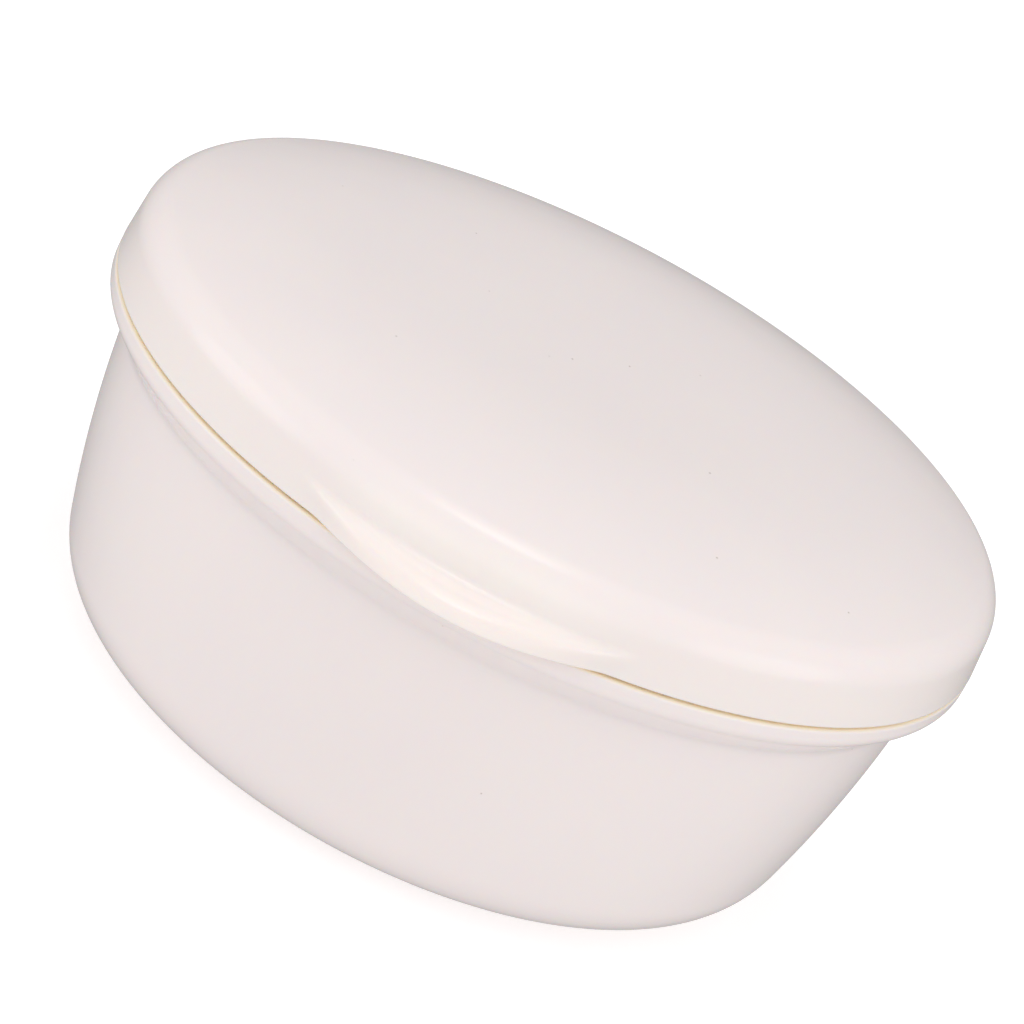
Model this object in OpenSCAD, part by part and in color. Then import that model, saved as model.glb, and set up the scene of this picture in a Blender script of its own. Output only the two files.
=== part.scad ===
// Lidded shaving bowl: a bowl and a lid, each one plastic moulding, and the soap cake they keep.
// Millimetres. The origin is the centre of the foot ring's plane, +Z is up, and the tab faces -Y.

/* [Overall] */
// Radius of the lid at its lower edge
lid_r = 55; // [52:0.5:60]
// Height of the flange's top face, where the lid rests, above the foot
seat_z = 38.8; // [36:0.2:46]

/* [Bowl] */
// Thickness of the side wall and of the floor
wall_t = 2; // [1.6:0.1:2.4]
// Lean of the side wall just below the flange, in degrees
wall_lean = 3.4; // [2.8:0.1:4]
// Radius of the side wall's outward bow, seen from the side
wall_bow_r = 142; // [120:2:200]
// Radius of the corner between the side wall and the foot
corner_r = 9.5; // [8:0.5:12]
// How far the flange stands out beyond the side wall
flange_w = 3.85; // [3.5:0.05:4.3]
// Angle of the flange's underside below the horizontal
flange_under = 44; // [38:1:50]
// Radius of the roll at the flange's outer edge
flange_roll_r = 2; // [1.8:0.1:2.4]
// Radius of the hollow where the flange's underside meets the side wall
groove_r = 2; // [1.2:0.1:2.6]
// Height of the neck that stands up inside the lid
neck_h = 4.5; // [3:0.5:5]
// Gap between the neck and the inside of the lid's skirt
neck_gap = 0.4; // [0.35:0.05:0.6]
// Width of the foot ring
foot_w = 3.5; // [2.5:0.5:5]
// Height of the hollow inside the foot ring
foot_h = 1; // [0.6:0.1:1.4]

/* [Lid] */
// Thickness of the lid
lid_t = 1.9; // [1.6:0.1:2.2]
// Height of the skirt, up to the shoulder
skirt_h = 5.2; // [4.8:0.1:6]
// Lean of the skirt, in degrees
skirt_lean = 6.1; // [5:0.1:8]
// Outer radius of the shoulder between the skirt and the dome
shoulder_r = 4.4; // [3.6:0.1:4.8]
// Slope of the dome where it leaves the shoulder, in degrees
dome_slope = 17; // [14:1:22]
// Exponent of the dome's curve: higher is flatter in the middle and rounder at the edge
dome_power = 4.6; // [3.6:0.1:6]
// Height of the step under the skirt's outer edge, which leaves a shadow line above the flange
reveal_h = 0.3; // [0.2:0.05:0.5]
// Depth of that step, inwards
reveal_w = 0.8; // [0.5:0.1:1]

/* [Thumb tab] */
// How far the tab stands out beyond the lid's edge
tab_out = 4.4; // [3:0.1:5]
// Spread of the tab to either side of its middle, in degrees
tab_spread = 19; // [15:0.5:22]
// Height of the tab's top face where it meets the skirt
tab_h = 3; // [2.4:0.1:3.4]
// Fall of the tab's top face outwards, in degrees
tab_fall = 16; // [10:1:20]

/* [Soap] */
// How far the soap cake's side stands beyond the flat of the floor
soap_reach = 1; // [-3:0.5:2]
// Height of the soap cake
soap_h = 20; // [12:1:24]
// Radius of the soap cake's rounded edges
soap_edge_r = 4; // [3:0.5:5]

/* [Hidden] */
$fn = 180;

// Points on each curved stretch of an outline
arc_steps = 8;
dome_steps = 24;
tab_steps = 28;

floor_z = foot_h + wall_t;

// The flange sits this much inside the lid's edge, and its top edge is rounded this much
flange_r = lid_r - 0.05;
flange_edge_r = 0.4;
flange_roll_z = seat_z - flange_edge_r - 0.8;
flange_roll_c = [flange_r - flange_roll_r, flange_roll_z];

// Normal of the flange's underside, as an angle from +X in the outline's plane
under_normal = flange_under - 90;
roll_end = flange_roll_c + flange_roll_r * [cos(under_normal), sin(under_normal)];

// Sharp corner that the groove's hollow rounds
wall_top_r = flange_r - flange_w;
groove = [wall_top_r, roll_end[1] - (roll_end[0] - wall_top_r) * tan(flange_under)];
groove_half = (flange_under + 90 + wall_lean) / 2;
groove_mid = (flange_under - 90 - wall_lean) / 2;
groove_c = groove + groove_r / sin(groove_half) * [cos(groove_mid), sin(groove_mid)];

// Side wall: an arc that starts at the groove's lower end
wall_normal = -wall_lean;
wall_start = groove_c - groove_r * [cos(wall_normal), sin(wall_normal)];
wall_c = wall_start - wall_bow_r * [cos(wall_normal), sin(wall_normal)];
corner_c = corner_between(wall_bow_r, corner_r, 0);
corner_join = atan2(corner_c[1] - wall_c[1], corner_c[0] - wall_c[0]);

// The same two arcs on the inside, ending on the floor
wall_in_r = wall_bow_r - wall_t;
corner_in_r = corner_r - wall_t + 0.5;
corner_in_c = corner_between(wall_in_r, corner_in_r, floor_z);
corner_in_join = atan2(corner_in_c[1] - wall_c[1], corner_in_c[0] - wall_c[0]);

// Neck inside the lid's skirt, with a lead-in at its top edge
skirt_in_r = lid_r - lid_t / cos(skirt_lean);
neck_r = skirt_in_r - neck_h * tan(skirt_lean) - neck_gap;
neck_top = seat_z + neck_h;
neck_lead = 0.5;

// Foot ring
foot_r = corner_c[0];
foot_in_r = foot_r - foot_w;

// Lid: shoulder arc and dome
skirt_top_r = lid_r - skirt_h * tan(skirt_lean);
shoulder_c = [skirt_top_r, seat_z + skirt_h] - shoulder_r * [cos(skirt_lean), sin(skirt_lean)];
dome_edge = shoulder_c + shoulder_r * [sin(dome_slope), cos(dome_slope)];
dome_rise = tan(dome_slope) * dome_edge[0] / dome_power;

// Far from its middle, the tab's outline would sink this deep into the skirt. It stops at its root
tab_sink = 3.2;
tab_root = 1.2;
tab_end_angle = tab_spread * sqrt(ln((tab_out + tab_sink) / (tab_sink - tab_root)));
cut_size = 4 * lid_r;

soap_r = corner_in_c[0] + soap_reach;

// Centre of a corner arc of radius r that touches the level z and, from inside, a side arc of radius side_r
function corner_between(side_r, r, z) =
    [wall_c[0] + sqrt(pow(side_r - r, 2) - pow(z + r - wall_c[1], 2)), z + r];

// Points on an arc about c, from one angle to another
function arc(c, r, from, to) =
    [for (i = [0:arc_steps]) let (a = from + (to - from) * i / arc_steps) c + r * [cos(a), sin(a)]];

// Point of the dome at a fraction of its radius, moved inwards by depth
function dome_point(part, depth) =
    let (
        r = part * dome_edge[0],
        z = dome_edge[1] + dome_rise * (1 - pow(part, dome_power)),
        slope = atan(tan(dome_slope) * pow(part, dome_power - 1))
    )
    [max(r - depth * sin(slope), 0), z - depth * cos(slope)];

// How far the tab's outline stands out of the lid's edge, at an angle from its middle
function tab_reach(angle) = (tab_out + tab_sink) * exp(-pow(angle / tab_spread, 2)) - tab_sink;

// Point in plan at a radius, and at an angle from the tab's middle
function from_tab(angle, radius) = radius * [sin(angle), -cos(angle)];

module bowl_outline() {
    polygon(concat(
        [[0, foot_h], [foot_in_r, foot_h], [foot_in_r + foot_h / 2, 0]],
        arc(corner_c, corner_r, -90, corner_join),
        arc(wall_c, wall_bow_r, corner_join, wall_normal),
        arc(groove_c, groove_r, 180 + wall_normal, 180 + under_normal),
        arc(flange_roll_c, flange_roll_r, under_normal, 0),
        arc([flange_r - flange_edge_r, seat_z - flange_edge_r], flange_edge_r, 0, 90),
        [
            [neck_r, seat_z],
            [neck_r, neck_top - neck_lead],
            [neck_r - neck_lead, neck_top],
            [neck_r - wall_t, neck_top]
        ],
        arc(wall_c, wall_in_r, wall_normal, corner_in_join),
        arc(corner_in_c, corner_in_r, corner_in_join, -90),
        [[0, floor_z]]
    ));
}

module lid_outline() {
    shoulder_end = 90 - dome_slope;
    shoulder_in_r = shoulder_r - lid_t;
    polygon(concat(
        [for (i = [0:dome_steps]) dome_point(i / dome_steps, 0)],
        arc(shoulder_c, shoulder_r, shoulder_end, skirt_lean),
        [
            [lid_r - reveal_h * tan(skirt_lean), seat_z + reveal_h],
            [lid_r - reveal_w, seat_z + reveal_h],
            [lid_r - reveal_w, seat_z],
            [skirt_in_r, seat_z]
        ],
        arc(shoulder_c, shoulder_in_r, skirt_lean, shoulder_end),
        [for (i = [dome_steps:-1:0]) dome_point(i / dome_steps, lid_t)]
    ));
}

module tab_outline() {
    step = 2 * tab_end_angle / tab_steps;
    angles = [for (i = [0:tab_steps]) i * step - tab_end_angle];
    outer = [for (a = angles) from_tab(a, lid_r + tab_reach(a))];
    root = [for (i = [tab_steps - 1:-1:1]) from_tab(angles[i], lid_r - tab_root)];
    polygon(concat(outer, root));
}

// Thumb tab: its underside is level with the step under the skirt, and its top face falls outwards
module tab() {
    difference() {
        translate([0, 0, seat_z + reveal_h])
            linear_extrude(height = skirt_h)
                tab_outline();
        translate([0, -lid_r, seat_z + tab_h])
            rotate([tab_fall, 0, 0])
                translate([-cut_size / 2, -cut_size / 2, 0])
                    cube([cut_size, cut_size, cut_size]);
    }
}

module bowl() {
    color([0.92, 0.88, 0.87])
        rotate_extrude()
            bowl_outline();
}

module lid() {
    color([0.96, 0.93, 0.91])
        union() {
            rotate_extrude()
                lid_outline();
            tab();
        }
}

// Pressed cake with rounded edges, sitting on the bowl's floor
module soap_cake() {
    edge_c = soap_r - soap_edge_r;
    color([0.93, 0.9, 0.8])
        rotate_extrude()
            polygon(concat(
                [[0, floor_z]],
                arc([edge_c, floor_z + soap_edge_r], soap_edge_r, -90, 0),
                arc([edge_c, floor_z + soap_h - soap_edge_r], soap_edge_r, 0, 90),
                [[0, floor_z + soap_h]]
            ));
}

bowl();
lid();
soap_cake();
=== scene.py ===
"""Looks of the lidded shaving bowl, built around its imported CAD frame."""

import math

import bpy
import numpy as np
from mathutils import Matrix, Vector, noise


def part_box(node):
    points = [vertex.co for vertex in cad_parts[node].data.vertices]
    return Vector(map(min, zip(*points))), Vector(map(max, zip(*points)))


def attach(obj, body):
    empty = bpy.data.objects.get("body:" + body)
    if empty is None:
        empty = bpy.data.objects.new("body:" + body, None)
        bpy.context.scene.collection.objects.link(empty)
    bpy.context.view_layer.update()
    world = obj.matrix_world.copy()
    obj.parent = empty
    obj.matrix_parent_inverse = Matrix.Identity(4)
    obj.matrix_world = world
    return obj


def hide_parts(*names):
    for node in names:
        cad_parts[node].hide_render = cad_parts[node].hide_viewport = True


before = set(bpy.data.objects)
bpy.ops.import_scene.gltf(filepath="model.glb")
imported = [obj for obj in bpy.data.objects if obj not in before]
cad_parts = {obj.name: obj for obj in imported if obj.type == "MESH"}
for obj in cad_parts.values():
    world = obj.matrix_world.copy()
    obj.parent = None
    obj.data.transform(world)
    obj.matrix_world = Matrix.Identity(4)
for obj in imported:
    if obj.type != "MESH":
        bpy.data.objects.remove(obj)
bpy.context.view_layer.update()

# ---------------------------------------------------------------- sizes, in millimetres
# They follow the CAD, with softer edges, a softer hollow under the flange and a softer tab.
MM = 0.001

LID_R = 55.0
WALL_T = 2.0
WALL_LEAN = 3.4
WALL_BOW_R = 142.0
CORNER_R = 9.5
FLANGE_R = LID_R - 0.05
FLANGE_W = 3.85
FLANGE_UNDER = 44.0
FLANGE_ROLL_R = 2.0
FLANGE_EDGE_R = 0.4
FLANGE_STRAIGHT = 0.8
GROOVE_R = 2.8
NECK_GAP = 0.4
NECK_EDGE_R = 0.6
FOOT_W = 3.5
FOOT_H = 1.0
FLOOR_Z = FOOT_H + WALL_T
WALL_IN_R = WALL_BOW_R - WALL_T
CORNER_IN_R = CORNER_R - WALL_T + 0.5

# Rings that keep the faces short on the flat underside and on the floor
UNDER_RINGS = (12.0, 22.0)
FLOOR_RINGS = (26.0, 14.0, 5.0, 0.0)

# Marks left where the plastic entered the mould: a shallow round pit under the bowl, with a stub in its
# middle, and a low round boss inside the lid
GATE_STUB_R = 0.9
GATE_STUB_DEPTH = 0.2
GATE_PIT_DEPTH = 0.5
GATE_PIT_R = 3.2
GATE_RIM_R = 3.8
GATE_FLAT_R = 5.0
BOSS_R = 2.4
BOSS_TOP_R = 2.2
BOSS_H = 0.4

LID_T = 1.9
SKIRT_H = 5.2
SKIRT_LEAN = 6.1
SHOULDER_R = 4.4
DOME_SLOPE = 17.0
DOME_POWER = 4.6
REVEAL_H = 0.3
REVEAL_W = 0.8
REVEAL_EDGE_R = 0.35

# The thumb tab's outline: its reach, its spread in degrees, and how deep it sinks into the skirt far away
TAB_OUT = 4.4
TAB_SPREAD = 19.0
TAB_SINK = 3.2
# Its top face: the height at the lid's edge, the rise at an angle from the middle, and the fall in degrees
TAB_H = 3.0
TAB_RISE = 0.4
TAB_RISE_ANGLE = 20
TAB_FALL = 11.0
# How its side leans, bows and widens with height
TAB_LEAN = 0.1
TAB_BOW = 0.26
TAB_FLARE = 0.8
# How it blends into the skirt, with the least share of that at its ends, and how its outer edge is rounded
TAB_CREASE = 1.3
CREASE_LEAST = 0.3
TAB_ROLL = 0.8

# How unevenly the soap cake is worn, how far up from the floor it's smooth, and how far apart its rings are
SOAP_SIDE_DENT = 0.22
SOAP_TOP_DENT = 0.3
SOAP_SMOOTH_H = 3
SOAP_SPACING = 1.2


def box_mm(node):
    """Lowest and highest corner of a CAD node, in millimetres."""
    low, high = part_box(node)
    return np.array(low) / MM, np.array(high) / MM


SEAT_Z = box_mm("lid")[0][2]
NECK_TOP = box_mm("bowl")[1][2]
SOAP_LOW, SOAP_HIGH = box_mm("soap_cake")


# ---------------------------------------------------------------- outlines: lists of (radius, height)
def unit(degrees):
    """A direction of length 1, as an angle from +X in the outline's plane."""
    a = math.radians(degrees)
    return np.array([math.cos(a), math.sin(a)])


def arc(centre, radius, start, end, steps):
    """Points on an arc, both ends included."""
    return [np.array(centre) + radius * unit(start + (end - start) * i / steps) for i in range(steps + 1)]


def tan(degrees):
    return math.tan(math.radians(degrees))


def rounded(corners, steps=6, support=0.12):
    """A line through corners given as (radius, height, rounding), each corner replaced by its arc."""
    points = []
    for i, (r, z, rounding) in enumerate(corners):
        here = np.array([r, z])
        if rounding == 0 or i in (0, len(corners) - 1):
            points.append(here)
            continue
        back = np.array(corners[i - 1][:2]) - here
        ahead = np.array(corners[i + 1][:2]) - here
        back /= np.linalg.norm(back)
        ahead /= np.linalg.norm(ahead)
        half = math.acos(np.clip(back @ ahead, -1, 1)) / 2
        reach = rounding / math.tan(half)
        middle = (back + ahead) / np.linalg.norm(back + ahead)
        centre = here + middle * rounding / math.sin(half)
        first = here + back * reach - centre
        last = here + ahead * reach - centre
        a0 = math.degrees(math.atan2(first[1], first[0]))
        turn = (math.degrees(math.atan2(last[1], last[0])) - a0 + 180) % 360 - 180
        points.append(here + back * (reach + support))
        points += arc(centre, rounding, a0, a0 + turn, steps)
        points.append(here + ahead * (reach + support))
    return points


def corner_between(wall_c, side_r, r, z):
    """Centre of a corner arc of radius r that touches the level z and, from inside, a side arc."""
    return np.array([wall_c[0] + math.sqrt((side_r - r) ** 2 - (z + r - wall_c[1]) ** 2), z + r])


def angle_between(a, b):
    return math.degrees(math.atan2(b[1] - a[1], b[0] - a[0]))


def bowl_centres():
    """Centres of the arcs of the flange's roll, the hollow under it, the side wall and its two corners."""
    roll_c = np.array([FLANGE_R - FLANGE_ROLL_R, SEAT_Z - FLANGE_EDGE_R - FLANGE_STRAIGHT])
    roll_end = roll_c + FLANGE_ROLL_R * unit(FLANGE_UNDER - 90)
    wall_top_r = FLANGE_R - FLANGE_W
    groove = np.array([wall_top_r, roll_end[1] - (roll_end[0] - wall_top_r) * tan(FLANGE_UNDER)])
    half = math.radians(FLANGE_UNDER + 90 + WALL_LEAN) / 2
    groove_c = groove + GROOVE_R / math.sin(half) * unit((FLANGE_UNDER - 90 - WALL_LEAN) / 2)
    wall_start = groove_c - GROOVE_R * unit(-WALL_LEAN)
    wall_c = wall_start - WALL_BOW_R * unit(-WALL_LEAN)
    corner_c = corner_between(wall_c, WALL_BOW_R, CORNER_R, 0)
    inner_c = corner_between(wall_c, WALL_IN_R, CORNER_IN_R, FLOOR_Z)
    return roll_c, groove_c, wall_c, corner_c, inner_c


def underside_line(foot_r):
    """From the middle of the bowl's underside, past the gate's mark, to the outer edge of the foot ring."""
    pit_z = FOOT_H + GATE_PIT_DEPTH
    stub_z = FOOT_H + GATE_STUB_DEPTH
    gate = rounded([(0, stub_z, 0), (GATE_STUB_R, stub_z, 0.12), (GATE_STUB_R, pit_z, 0.1),
                    (GATE_PIT_R, pit_z, 0.2), (GATE_RIM_R, FOOT_H, 0.3), (GATE_FLAT_R, FOOT_H, 0)], 4, 0.05)
    foot_in_r = foot_r - FOOT_W
    foot = rounded([(GATE_FLAT_R, FOOT_H, 0), (foot_in_r, FOOT_H, 0.5), (foot_in_r + 0.45, 0, 0.35),
                    (foot_r, 0, 0)])
    return gate + [np.array([r, FOOT_H]) for r in UNDER_RINGS] + foot[1:]


def rim_line(wall_c):
    """From the flange's edge over its top face, up round the neck, and down to the inside of the wall."""
    neck_r = LID_R - LID_T / math.cos(math.radians(SKIRT_LEAN))
    neck_r -= (NECK_TOP - SEAT_Z) * tan(SKIRT_LEAN) + NECK_GAP
    flange_low = SEAT_Z - FLANGE_EDGE_R - FLANGE_STRAIGHT
    inside_top = wall_c + WALL_IN_R * unit(-WALL_LEAN)
    inside_low = wall_c + WALL_IN_R * unit(-WALL_LEAN - 2.5)
    return rounded([(FLANGE_R, flange_low, 0), (FLANGE_R, SEAT_Z, FLANGE_EDGE_R), (neck_r, SEAT_Z, 0.3),
                    (neck_r, NECK_TOP, NECK_EDGE_R), (neck_r - WALL_T, NECK_TOP, NECK_EDGE_R),
                    (*inside_top, 6.0), (*inside_low, 0)])[1:-1]


def bowl_outline():
    """The bowl's outline, from the middle of its underside round the outside and the rim to its floor."""
    roll_c, groove_c, wall_c, corner_c, inner_c = bowl_centres()
    under_normal = FLANGE_UNDER - 90
    corner_end = angle_between(wall_c, corner_c)
    inner_end = angle_between(wall_c, inner_c)
    points = underside_line(corner_c[0])
    points += arc(corner_c, CORNER_R, -90, corner_end, 26)[1:]
    points += arc(wall_c, WALL_BOW_R, corner_end, -WALL_LEAN, 30)[1:]
    points += arc(groove_c, GROOVE_R, 180 - WALL_LEAN, 180 + under_normal, 10)[1:]
    points += arc(roll_c, FLANGE_ROLL_R, under_normal, 0, 14)
    points += rim_line(wall_c)
    points += arc(wall_c, WALL_IN_R, -WALL_LEAN - 2, inner_end, 24)
    points += arc(inner_c, CORNER_IN_R, inner_end, -90, 20)[1:]
    points += [np.array([r, FLOOR_Z]) for r in (inner_c[0] - 0.3, *FLOOR_RINGS)]
    return points


def shoulder():
    """Centre of the lid's shoulder arc, and the point where the dome leaves it, above the seat."""
    top = np.array([LID_R - SKIRT_H * tan(SKIRT_LEAN), SKIRT_H])
    centre = top - SHOULDER_R * unit(SKIRT_LEAN)
    return centre, centre + SHOULDER_R * unit(90 - DOME_SLOPE)


def dome_point(part, depth=0.0):
    """Point of the dome at a fraction of its radius, moved inwards by depth."""
    edge = shoulder()[1]
    rise = tan(DOME_SLOPE) * edge[0] / DOME_POWER
    slope = math.atan(tan(DOME_SLOPE) * part ** (DOME_POWER - 1))
    z = edge[1] + rise * (1 - part ** DOME_POWER)
    return np.array([max(part * edge[0] - depth * math.sin(slope), 0.0), z - depth * math.cos(slope)])


# ---------------------------------------------------------------- the lid's skirt and thumb tab
def smooth_min(a, b, k):
    """The smaller of a and b, with the bend between them rounded where they differ by less than k."""
    h = np.maximum(k - np.abs(a - b), 0) / k
    return np.minimum(a, b) - h * h * k / 4


def smooth_max(a, b, k):
    return -smooth_min(-a, -b, k)


def tab_reach(angle, z):
    """How far the tab's outline stands out of the lid's edge, at an angle in degrees from its middle."""
    height = z - REVEAL_H
    spread = TAB_SPREAD + TAB_FLARE * height ** 2
    out = TAB_OUT - TAB_LEAN * height - TAB_BOW * height ** 2
    return (out + TAB_SINK) * np.exp(-(angle / spread) ** 2) - TAB_SINK


def lid_field(r, z, angle):
    """Rough distance outside the lid's outer skin near the skirt: the skirt blended with the tab."""
    lean = math.radians(SKIRT_LEAN)
    fall = math.radians(TAB_FALL)
    skirt = (r - LID_R + z * math.tan(lean)) * math.cos(lean)
    top = TAB_H + TAB_RISE * (angle / TAB_RISE_ANGLE) ** 2 - (r - LID_R) * math.tan(fall)
    above = (z - top) * math.cos(fall)
    reach = tab_reach(angle, z)
    # Slopes of the reach, along the edge (radians of LID_R is the length of one degree) and upwards
    slant = (tab_reach(angle + 1, z) - tab_reach(angle - 1, z)) / (2 * math.radians(LID_R))
    climb = (tab_reach(angle, z + 0.1) - tab_reach(angle, z - 0.1)) / 0.2
    beyond = (r - LID_R - reach) / np.sqrt(1 + slant ** 2 + climb ** 2)
    tab = smooth_max(above, beyond, TAB_ROLL)
    crease = TAB_CREASE * np.clip(CREASE_LEAST + (1 - CREASE_LEAST) * reach / TAB_OUT, CREASE_LEAST, 1)
    body = smooth_min(skirt, tab, crease)
    return smooth_max(body, REVEAL_H - z, REVEAL_EDGE_R)


def skirt_rows(angles, count=84):
    """The skirt's and tab's skin, from the shoulder down and in to the step: an array of (row, angle, 2)."""
    root_r = LID_R - REVEAL_W
    tab_z = 3.2
    fan_z = 1.2
    farthest = 8.0
    heights = np.concatenate([np.linspace(SKIRT_H, tab_z, 60), np.linspace(tab_z, fan_z, 260)[1:]])
    tilts = np.radians(np.linspace(0, -90, 260)[1:])
    # Rays that look for the skin: level ones down to fan_z, then a fan of them down to the step
    base = np.array([(root_r, z) for z in heights] + [(root_r, fan_z)] * len(tilts))
    way = np.array([(1, 0)] * len(heights) + [(math.cos(t), math.sin(t)) for t in tilts])
    a = np.broadcast_to(angles, (len(base), len(angles)))
    near = np.zeros(a.shape)
    far = np.full(a.shape, farthest)
    for _ in range(34):
        middle = (near + far) / 2
        outside = lid_field(base[:, :1] + middle * way[:, :1], base[:, 1:] + middle * way[:, 1:], a) > 0
        far = np.where(outside, middle, far)
        near = np.where(outside, near, middle)
    line = base[:, None, :] + near[..., None] * way[:, None, :]
    rows = np.empty((count, len(angles), 2))
    for j in range(len(angles)):
        rows[:, j] = spread_evenly(line[:, j], count)
    return rows


def spread_evenly(line, count):
    """Picks points along a line so that straight runs and bends both get their share.

    One share is 0.3 mm of length or 7 degrees of bend.
    """
    steps = np.diff(line, axis=0)
    length = np.hypot(steps[:, 0], steps[:, 1])
    heading = np.unwrap(np.arctan2(steps[:, 1], steps[:, 0]))
    turn = np.abs(np.gradient(heading))
    share = np.concatenate([[0], np.cumsum(length / 0.3 + turn / math.radians(7))])
    wanted = np.linspace(0, share[-1], count)
    return np.column_stack([np.interp(wanted, share, line[:, k]) for k in (0, 1)])


def lid_rows(angles):
    """Every ring of the lid, from the dome's middle round the edge and back inside: (row, angle, 2)."""
    centre = shoulder()[0]
    inner_r = SHOULDER_R - LID_T
    outer = [dome_point(part) for part in np.linspace(0, 1, 34) ** 0.75]
    outer += arc(centre, SHOULDER_R, 90 - DOME_SLOPE, SKIRT_LEAN, 20)[1:-1]
    skirt = skirt_rows(angles)
    skirt_in_r = LID_R - LID_T / math.cos(math.radians(SKIRT_LEAN))
    in_top = centre + inner_r * unit(SKIRT_LEAN)
    foot = rounded([(LID_R - REVEAL_W, 0.2, 0), (LID_R - REVEAL_W, 0, 0.08), (skirt_in_r, 0, 0.25),
                    (*in_top, 0)], 4, 0.04)[1:-1]
    inner = foot + arc(centre, inner_r, SKIRT_LEAN, 90 - DOME_SLOPE, 10)
    inner += [dome_point(part, LID_T) for part in np.linspace(1, 0.05, 22)[1:]]
    gate_z = dome_point(0, LID_T)[1]
    boss_z = gate_z - BOSS_H
    inner += rounded([(BOSS_R, gate_z, 0), (BOSS_TOP_R, boss_z, 0.1), (0, boss_z, 0)], 3, 0.05)
    rows = np.concatenate([turned_rows(outer, angles), skirt, turned_rows(inner, angles)])
    rows[..., 1] += SEAT_Z
    return rows


# ---------------------------------------------------------------- meshes
def turned_rows(outline, angles):
    """The same outline at every angle, as an array of (row, angle, 2)."""
    return np.repeat(np.array(outline)[:, None, :], len(angles), axis=1)


def even_angles(count):
    return np.arange(count) * 360.0 / count


def lid_angles():
    """Angles round the lid, in degrees from the tab's middle, closer together near the tab."""
    edge = 30
    near = np.arange(-edge, edge + 0.01, 0.5)
    far = np.linspace(edge, 360 - edge, 201)[1:-1]
    return np.concatenate([near, far])


def wheel(name, rows, angles):
    """A closed mesh from rings of (radius, height), one value per angle. Angle 0 faces -Y."""
    rings, around = rows.shape[:2]
    turn = np.radians(angles)
    x = rows[..., 0] * np.sin(turn)
    y = -rows[..., 0] * np.cos(turn)
    points = np.stack([x, y, rows[..., 1]], axis=-1)
    middle = points[1:-1].reshape(-1, 3)
    verts = np.concatenate([middle, points[:1, 0], points[-1:, 0]]) * MM
    first, last = len(verts) - 2, len(verts) - 1
    faces = []
    for j in range(around):
        k = (j + 1) % around
        faces.append((first, j, k))
        for i in range(rings - 3):
            faces.append((i * around + j, (i + 1) * around + j, (i + 1) * around + k, i * around + k))
        base = (rings - 3) * around
        faces.append((base + j, last, base + k))
    mesh = bpy.data.meshes.new(name)
    mesh.from_pydata(verts.tolist(), [], faces)
    mesh.validate()
    mesh.polygons.foreach_set("use_smooth", [True] * len(mesh.polygons))
    piece = bpy.data.objects.new(name, mesh)
    bpy.context.scene.collection.objects.link(piece)
    return piece


def make_bowl():
    """One round moulding: the outline turned about the Z axis."""
    angles = even_angles(288)
    return wheel("bowl_moulding", turned_rows(bowl_outline(), angles), angles)


def make_lid():
    """The other moulding, round except for its tab."""
    angles = lid_angles()
    return wheel("lid_moulding", lid_rows(angles), angles)


def soap_outline():
    """The cake's outline: flat below, straight sides, a rounded rim, and a shallow dish worn into the top."""
    r, low, high = SOAP_HIGH[0], SOAP_LOW[2], SOAP_HIGH[2]
    rim_z = high - 0.3
    side = [(0, low, 0), (r - 0.5, low, 3.4), (r - 0.35, high - 6, 2)]
    rim = [(r - 1.1, rim_z, 2.6), (r - 5.5, rim_z, 3.0)]
    dish = [(r - 11, high - 1.5, 9), (0, high - 2.1, 0)]
    line = rounded(side + rim + dish, 10, 0.3)
    points = []
    for a, b in zip(line[:-1], line[1:]):
        count = max(1, int(np.linalg.norm(b - a) / SOAP_SPACING))
        points += [a + (b - a) * i / count for i in range(count)]
    return points + [line[-1]]


def make_soap():
    """A pressed cake whose top and side are slightly uneven from use, and smooth where it meets the bowl."""
    angles = even_angles(200)
    rows = turned_rows(soap_outline(), angles)
    for i, (r, z) in enumerate(rows[:, 0].tolist()):
        free = min(max((z - SOAP_LOW[2] - SOAP_SMOOTH_H) / 4, 0), 1) * min(r / 3, 1)
        for j, angle in enumerate(np.radians(angles)):
            spot = Vector((r * math.cos(angle), r * math.sin(angle), z))
            slow = noise.noise(spot / 7.5)
            fine = noise.noise(spot / 2.6)
            dent = 0.5 + 0.5 * slow + 0.25 * fine
            rows[i, j, 0] -= SOAP_SIDE_DENT * free * dent * min(r / 30, 1)
            rows[i, j, 1] -= SOAP_TOP_DENT * free * dent
    return wheel("soap_cake_pressed", rows, angles)


# ---------------------------------------------------------------- stage
# Soft round lights on a sphere about the bowl: azimuth from the front, elevation, watts and diameter. One
# that isn't in the middle plane has a twin on the left. Lengths in this section are in metres.
LIGHTS = {
    "front": (25, 12, 0.7, 0.9),
    "side": (70, 12, 2.1, 0.9),
    "overhead": (0, 80, 0.8, 0.5),
    "overhead_near": (0, 82, 0.45, 0.3),
    "overhead_far": (180, 82, 0.3, 0.4),
}
LIGHT_DISTANCE = 1.2
LIGHT_TARGET = (0, 0, 0.03)
WORLD_STRENGTH = 0.865
WORLD_REFLECTED = 0.2
FLOOR_GLOW = 0.25
FLOOR_HALF_W = 3.0


def soft_light(name, azimuth, elevation, power, size):
    """A round area light that faces the bowl."""
    data = bpy.data.lights.new(name, "AREA")
    data.shape = "DISK"
    data.size = size
    data.energy = power
    lamp = bpy.data.objects.new(name, data)
    bpy.context.scene.collection.objects.link(lamp)
    a, e = math.radians(azimuth), math.radians(elevation)
    way = Vector((math.cos(e) * math.sin(a), -math.cos(e) * math.cos(a), math.sin(e)))
    lamp.location = Vector(LIGHT_TARGET) + way * LIGHT_DISTANCE
    lamp.rotation_euler = way.to_track_quat("Z", "Y").to_euler()


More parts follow.
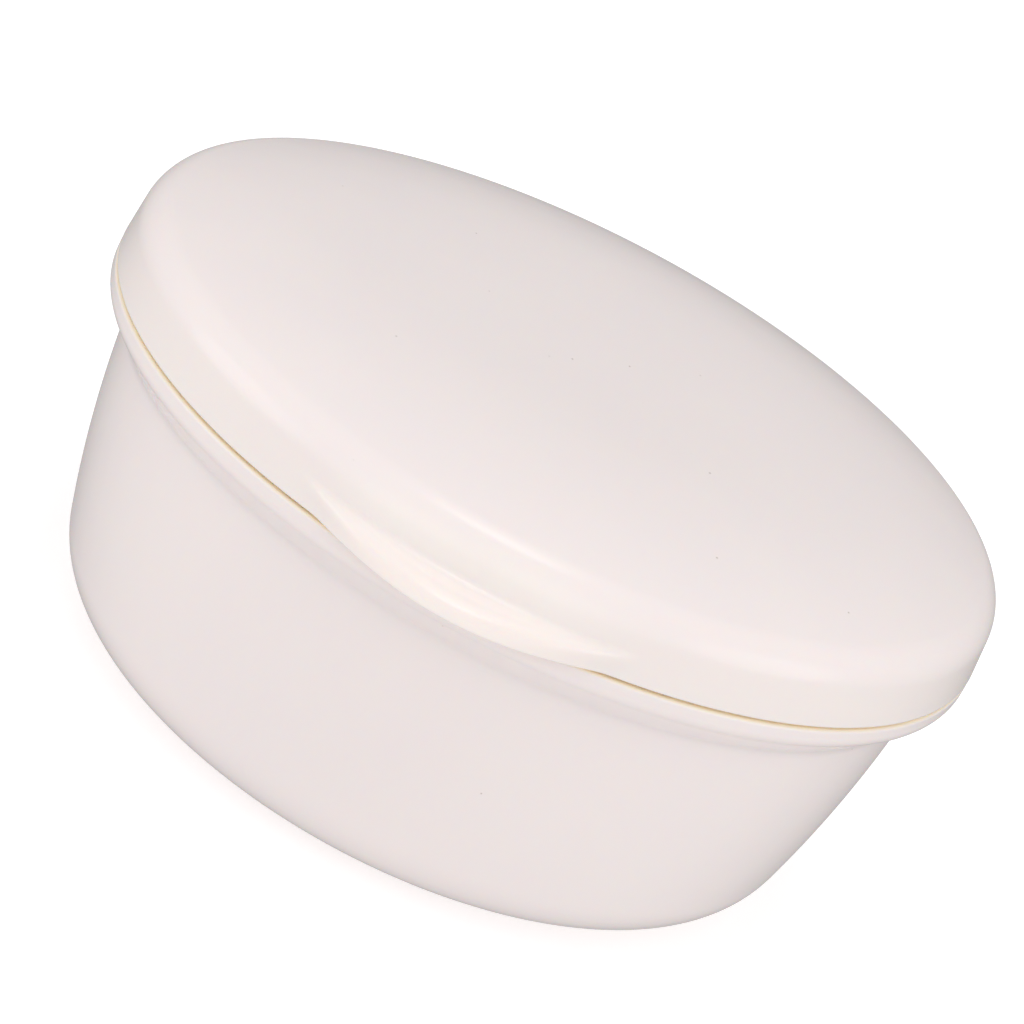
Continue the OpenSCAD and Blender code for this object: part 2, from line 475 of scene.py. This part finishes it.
def studio():
    """The lights, and pale surroundings that are dimmer in reflections, as dark cards would make them."""
    world = bpy.data.worlds.new("studio")
    bpy.context.scene.world = world
    world.use_nodes = True
    background = world.node_tree.nodes["Background"]
    background.inputs["Color"].default_value = (1, 1, 1, 1)
    nodes, links = world.node_tree.nodes, world.node_tree.links
    dim = nodes.new("ShaderNodeMapRange")
    dim.inputs["To Min"].default_value = WORLD_STRENGTH
    dim.inputs["To Max"].default_value = WORLD_REFLECTED
    links.new(nodes.new("ShaderNodeLightPath").outputs["Is Glossy Ray"], dim.inputs["Value"])
    links.new(dim.outputs["Result"], background.inputs["Strength"])
    for name, (azimuth, elevation, power, size) in LIGHTS.items():
        soft_light(name, azimuth, elevation, power, size)
        if azimuth % 180:
            soft_light(name + "_left", -azimuth, elevation, power, size)


def floor():
    """A plain floor that is seen but sends no light back to the object."""
    mesh = bpy.data.meshes.new("floor")
    s = FLOOR_HALF_W
    mesh.from_pydata([(-s, -s, 0), (s, -s, 0), (s, s, 0), (-s, s, 0)], [], [(0, 1, 2, 3)])
    piece = bpy.data.objects.new("floor", mesh)
    bpy.context.scene.collection.objects.link(piece)
    piece.visible_glossy = False
    piece.visible_diffuse = False
    return piece


# The camera: its lens and sensor in millimetres, its angles in degrees, and, in radii of the lid, how far the
# middle of the seat is to its right, below it and ahead of it
SENSOR_W = 36
LENS = 123.10664
AZIMUTH = 1.6
ELEVATION = 22.712
ROLL = 28.051
SEAT_RIGHT, SEAT_DOWN, SEAT_AHEAD = 0.0921, -0.1536, 7.3793


def camera():
    """A camera that looks down at the front, rolled about its line of sight."""
    e = math.radians(ELEVATION)
    a = math.radians(AZIMUTH)
    back = Vector((math.cos(e) * math.sin(a), -math.cos(e) * math.cos(a), math.sin(e)))
    right = Vector((math.cos(a), math.sin(a), 0))
    up = back.cross(right)
    c, s = math.cos(math.radians(ROLL)), math.sin(math.radians(ROLL))
    x_axis = c * right + s * up
    y_axis = -s * right + c * up
    offset = Vector((SEAT_RIGHT, SEAT_DOWN, SEAT_AHEAD)) * LID_R * MM
    place = -(x_axis * offset.x - y_axis * offset.y - back * offset.z)
    place.z += SEAT_Z * MM
    data = bpy.data.cameras.new("camera")
    data.sensor_width = SENSOR_W
    data.lens = LENS
    data.clip_start = 0.01
    cam = bpy.data.objects.new("camera", data)
    bpy.context.scene.collection.objects.link(cam)
    turn = Matrix((x_axis, y_axis, back)).transposed().to_4x4()
    cam.matrix_world = Matrix.Translation(place) @ turn
    bpy.context.scene.camera = cam


# ---------------------------------------------------------------- materials
class Nodes:
    """Builds one material's nodes. Places are in millimetres, in the frame that all pieces share."""

    def __init__(self, name):
        self.material = bpy.data.materials.new(name)
        self.material.use_nodes = True
        self.tree = self.material.node_tree
        self.shader = self.tree.nodes["Principled BSDF"]
        place = self.add("ShaderNodeTexCoord").outputs["Object"]
        self.place = self.stretch(place, (1 / MM, 1 / MM, 1 / MM))
        split = self.add("ShaderNodeSeparateXYZ", {"Vector": self.place})
        self.x, self.y, self.z = split.outputs
        self.radius = self.length(self.x, self.y)

    def add(self, kind, inputs=None, **settings):
        """A new node with its inputs fed and its settings set."""
        node = self.tree.nodes.new(kind)
        for key, value in settings.items():
            setattr(node, key, value)
        for key, value in (inputs or {}).items():
            self.feed(node.inputs[key], value)
        return node

    def feed(self, socket, value):
        """Links another node's output to a socket, or sets the socket to a plain value."""
        if isinstance(value, bpy.types.NodeSocket):
            self.tree.links.new(value, socket)
        else:
            socket.default_value = value

    def math(self, operation, a, b=0.0):
        return self.add("ShaderNodeMath", {0: a, 1: b}, operation=operation).outputs[0]

    def times(self, a, b):
        return self.math("MULTIPLY", a, b)

    def plus(self, a, b):
        return self.math("ADD", a, b)

    def minus(self, a, b):
        return self.math("SUBTRACT", a, b)

    def length(self, a, b):
        """Length of the flat vector (a, b)."""
        return self.math("SQRT", self.plus(self.times(a, a), self.times(b, b)))

    def stretch(self, place, factors):
        """A place with its x, y and z multiplied by three factors."""
        return self.add("ShaderNodeVectorMath", {0: place, 1: factors}, operation="MULTIPLY").outputs[0]

    def fade(self, value, low, high):
        """0 at low, 1 at high, smooth between them. High may be the smaller one."""
        inputs = {"Value": value, "From Min": low, "From Max": high}
        node = self.add("ShaderNodeMapRange", inputs, interpolation_type="SMOOTHSTEP")
        return node.outputs["Result"]

    def noise(self, size, detail, stretch=(1, 1, 1)):
        """Noise from 0 to 1 whose patches are about size millimetres wide, with detail finer layers."""
        place = self.stretch(self.place, stretch)
        inputs = {"Vector": place, "Scale": 1 / size, "Detail": detail}
        return self.add("ShaderNodeTexNoise", inputs).outputs[0]

    def blend(self, factor, a, b):
        """Colour a where the factor is 0, colour b where it is 1."""
        node = self.add("ShaderNodeMix", data_type="RGBA")
        self.feed(node.inputs[0], factor)
        for socket, colour in ((node.inputs[6], a), (node.inputs[7], b)):
            self.feed(socket, colour if isinstance(colour, bpy.types.NodeSocket) else (*colour, 1))
        return node.outputs[2]

    def specks(self, spacing, radius):
        """1 in small round specks scattered through some parts of the material, 0 between them."""
        inputs = {"Vector": self.place, "Scale": 1 / spacing}
        near = self.add("ShaderNodeTexVoronoi", inputs).outputs["Distance"]
        some = self.fade(self.noise(spacing * 2.3, 1), 0.42, 0.46)
        return self.times(some, self.fade(near, radius / spacing, 0.3 * radius / spacing))

    def pin_marks(self, reach, radius):
        """1 on four thin rings, left by the mould's ejector pins, at reach millimetres along x and y."""
        across = self.minus(self.math("ABSOLUTE", self.x), reach)
        along = self.minus(self.math("ABSOLUTE", self.y), reach)
        off = self.math("ABSOLUTE", self.minus(self.length(across, along), radius))
        return self.fade(off, *PIN_LINE)

    def bump(self, height, depth):
        """Normal of a surface raised by height, which goes from 0 to 1, times depth in millimetres."""
        inputs = {"Height": height, "Distance": depth * MM, "Strength": 1.0}
        return self.add("ShaderNodeBump", inputs).outputs["Normal"]

    def finish(self, colour, roughness, normal):
        """Feeds the shader and hands back the material."""
        self.feed(self.shader.inputs["Base Color"], colour)
        self.feed(self.shader.inputs["Roughness"], roughness)
        self.feed(self.shader.inputs["Normal"], normal)
        return self.material

    def translucent(self, weight, depth, colours):
        """Lets light into the surface, depth millimetres deep for each colour's share."""
        self.shader.inputs["Subsurface Weight"].default_value = weight
        self.shader.inputs["Subsurface Radius"].default_value = colours
        self.shader.inputs["Subsurface Scale"].default_value = depth * MM


# Colours, as linear red, green and blue
PLASTIC = (0.885, 0.800, 0.786)
PLASTIC_WARM = (0.893, 0.807, 0.769)
PLASTIC_COOL = (0.872, 0.790, 0.782)
# Painted light: the lighter colour painted over the tab and the skirt behind it, for light bounced off the
# tab
PLASTIC_PAINTED_LIGHT = (0.925, 0.846, 0.812)
PLASTIC_WORN = (0.72, 0.66, 0.62)
# Painted light: the warm glow painted into the seam's shade, for light let through the plastic
SEAM_PAINTED_GLOW = (0.98, 0.84, 0.66)
SPECK_BROWN = (0.30, 0.22, 0.18)
SOAP_DARK = (0.89, 0.82, 0.66)
SOAP_LIGHT = (0.93, 0.885, 0.77)
SOAP_CHALK = (0.95, 0.92, 0.85)
SOAP_HOLE = (0.62, 0.54, 0.36)
FLOOR_TONES = (0.955, 0.955, 0.955), (0.945, 0.945, 0.945)

# Radius of the dark specks in the plastic
SPECK_R = 0.18

# Ejector pins' marks: how far out they are along x and y, their radius, and half the width of their line,
# from its faint edge to its core
BOWL_PIN_REACH = 17
LID_PIN_REACH = 20
PIN_R = 2.5
PIN_LINE = (0.14, 0.04)

# The seam's lips are painted a tan glow that stands in for light let through the plastic into the seam's
# shade: its strength, and the radii from 0 to full glow on the bowl's lip and under the lid's edge, which
# keep it off the neck and the tab
SEAM_GLOW_STRENGTH = 0.95
LIP_GLOW_IN = (53.6, 54.3)
LIP_GLOW_OUT = (55.2, 54.7)
UNDER_GLOW_IN = (53.6, 54.2)
UNDER_GLOW_OUT = (55.6, 55.1)


def moulded_plastic(name):
    """The body of a glossy off-white plastic: faint clouds of colour, and light let into the surface."""
    n = Nodes(name)
    clouds = n.fade(n.noise(24, 3), 0.3, 0.7)
    colour = n.blend(clouds, PLASTIC_COOL, PLASTIC)
    colour = n.blend(n.times(n.noise(0.7, 2), 0.08), colour, PLASTIC_WARM)
    n.translucent(0.35, 2.2, (1.0, 0.62, 0.36))
    n.shader.inputs["IOR"].default_value = 1.47
    return n, colour


def plastic_skin(n, marks):
    """Roughness and relief of the polished skin: slow waves, a fine peel, light scuffs and pin marks."""
    scuffs = n.fade(n.noise(2.2, 5, (1, 5, 1)), 0.66, 0.85)
    roughness = n.plus(0.19, n.times(n.noise(9, 3), 0.06))
    roughness = n.plus(roughness, n.times(scuffs, 0.06))
    peel = n.plus(n.noise(6, 2), n.times(n.noise(0.9, 3), 0.16))
    return roughness, n.bump(n.plus(peel, n.times(marks, 14.0)), 0.004)


def bowl_material():
    """The bowl's plastic: pin marks underneath, a painted tan glow at the flange's lip for light let through
    the plastic into the seam, and wear on the foot ring.
    """
    n, colour = moulded_plastic("bowl_plastic_warm_white")
    marks = n.times(n.pin_marks(BOWL_PIN_REACH, PIN_R), n.fade(n.z, FLOOR_Z, FLOOR_Z - 1))
    roughness, normal = plastic_skin(n, marks)
    # Painted light: a tan glow on the flange's lip at the seam, standing in for light let through the plastic
    # into the seam's shade
    lip = n.times(n.fade(n.z, SEAT_Z - FLANGE_EDGE_R, SEAT_Z - 0.05), n.fade(n.radius, *LIP_GLOW_OUT))
    lip = n.times(lip, n.fade(n.radius, *LIP_GLOW_IN))
    colour = n.blend(n.times(lip, SEAM_GLOW_STRENGTH), colour, SEAM_PAINTED_GLOW)
    foot = n.fade(n.z, 0.5, 0.05)
    worn = n.times(foot, n.fade(n.noise(0.5, 4), 0.35, 0.6))
    colour = n.blend(n.times(worn, 0.35), colour, PLASTIC_WORN)
    roughness = n.plus(roughness, n.times(worn, 0.3))
    colour = n.blend(n.times(n.specks(6, SPECK_R), 0.75), colour, SPECK_BROWN)
    return n.finish(colour, roughness, normal)


def gloss_and_painted_light_zone(n):
    """1 over the tab and the skirt behind it, and 0 elsewhere: there the lid is made glossier, as thumbs
    polish it, and painted lighter, a painted light that stands in for light bounced off the tab.
    """
    across = n.fade(n.math("ABSOLUTE", n.x), 22, 9)
    front = n.fade(n.y, 5 - LID_R, 1 - LID_R)
    zone = n.times(across, front)
    zone = n.times(zone, n.fade(n.z, SEAT_Z + 1.5, SEAT_Z + TAB_H))
    return n.times(zone, n.fade(n.z, SEAT_Z + 9, SEAT_Z + 5))


def lid_material():
    """The lid's plastic: warmer on the skirt, painted lighter over the tab and the skirt behind it for light
    bounced off the tab, glossier there, and painted a tan glow under its edge for light let through the
    plastic into the seam.
    """
    n, colour = moulded_plastic("lid_plastic_warm_white")
    inside = n.fade(n.z, SEAT_Z + dome_point(0, 1)[1], SEAT_Z + dome_point(0, 1.3)[1])
    marks = n.times(n.pin_marks(LID_PIN_REACH, PIN_R), inside)
    roughness, normal = plastic_skin(n, marks)
    skirt = n.fade(n.z, SEAT_Z + 7, SEAT_Z + 4)
    colour = n.blend(n.times(skirt, 0.6), colour, PLASTIC_WARM)
    # Painted light: the tab and the skirt behind it are painted lighter for light bounced off the tab, and
    # made a little glossier
    gloss_and_painted_light = gloss_and_painted_light_zone(n)
    colour = n.blend(gloss_and_painted_light, colour, PLASTIC_PAINTED_LIGHT)
    roughness = n.minus(roughness, n.times(gloss_and_painted_light, 0.04))
    # Painted light: a tan glow under the lid's edge, standing in for light let through the plastic into the
    # seam's shade
    under = n.times(n.fade(n.z, SEAT_Z + 0.42, SEAT_Z + REVEAL_H), n.fade(n.radius, *UNDER_GLOW_IN))
    under = n.times(under, n.fade(n.radius, *UNDER_GLOW_OUT))
    colour = n.blend(n.times(under, SEAM_GLOW_STRENGTH), colour, SEAM_PAINTED_GLOW)
    colour = n.blend(n.times(n.specks(5, SPECK_R), 0.85), colour, SPECK_BROWN)
    return n.finish(colour, roughness, normal)


def soap_material():
    """Waxy ivory soap: slow marbling, chalky patches, pinholes, and rings worn into its top by the brush."""
    n = Nodes("soap_ivory")
    marble = n.fade(n.noise(11, 5, (1, 1, 2)), 0.35, 0.65)
    colour = n.blend(marble, SOAP_DARK, SOAP_LIGHT)
    chalk = n.fade(n.noise(3.2, 5), 0.55, 0.75)
    colour = n.blend(n.times(chalk, 0.4), colour, SOAP_CHALK)
    holes = n.specks(1.7, 0.22)
    colour = n.blend(n.times(holes, 0.35), colour, SOAP_HOLE)
    phase = n.plus(n.times(n.radius, 3.6), n.times(n.noise(8, 2), 9.0))
    rings = n.math("SINE", phase)
    top = n.fade(n.z, SOAP_HIGH[2] - 2.5, SOAP_HIGH[2] - 1.0)
    rings = n.times(n.times(rings, top), 0.1)
    relief = n.plus(n.times(n.noise(1.1, 5), 0.8), rings)
    relief = n.minus(relief, n.times(holes, 0.5))
    roughness = n.plus(0.42, n.times(chalk, 0.2))
    n.translucent(0.4, 2.2, (1.0, 0.75, 0.4))
    return n.finish(colour, roughness, n.bump(relief, 0.12))


def floor_material():
    """A matt white floor with some glow of its own, which keeps it pale."""
    n = Nodes("floor_white")
    tone = n.fade(n.noise(90, 3), 0.2, 0.8)
    n.shader.inputs["Emission Color"].default_value = (1, 1, 1, 1)
    n.shader.inputs["Emission Strength"].default_value = FLOOR_GLOW
    colour = n.blend(tone, *FLOOR_TONES)
    return n.finish(colour, 0.6, n.bump(n.noise(0.4, 2), 0.01))


# ---------------------------------------------------------------- the object, its stage and the camera
bowl = make_bowl()
lid = make_lid()
soap = make_soap()
bowl.data.materials.append(bowl_material())
lid.data.materials.append(lid_material())
soap.data.materials.append(soap_material())
for piece, body, node, slot in ((bowl, "bowl", "bowl", "bowl_plastic"), (lid, "lid", "lid", "lid_plastic"),
                                (soap, "bowl", "soap_cake", "soap")):
    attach(piece, body)
    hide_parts(node)

ground = floor()
ground.data.materials.append(floor_material())
studio()
camera()
bpy.context.scene.view_settings.view_transform = "Standard"
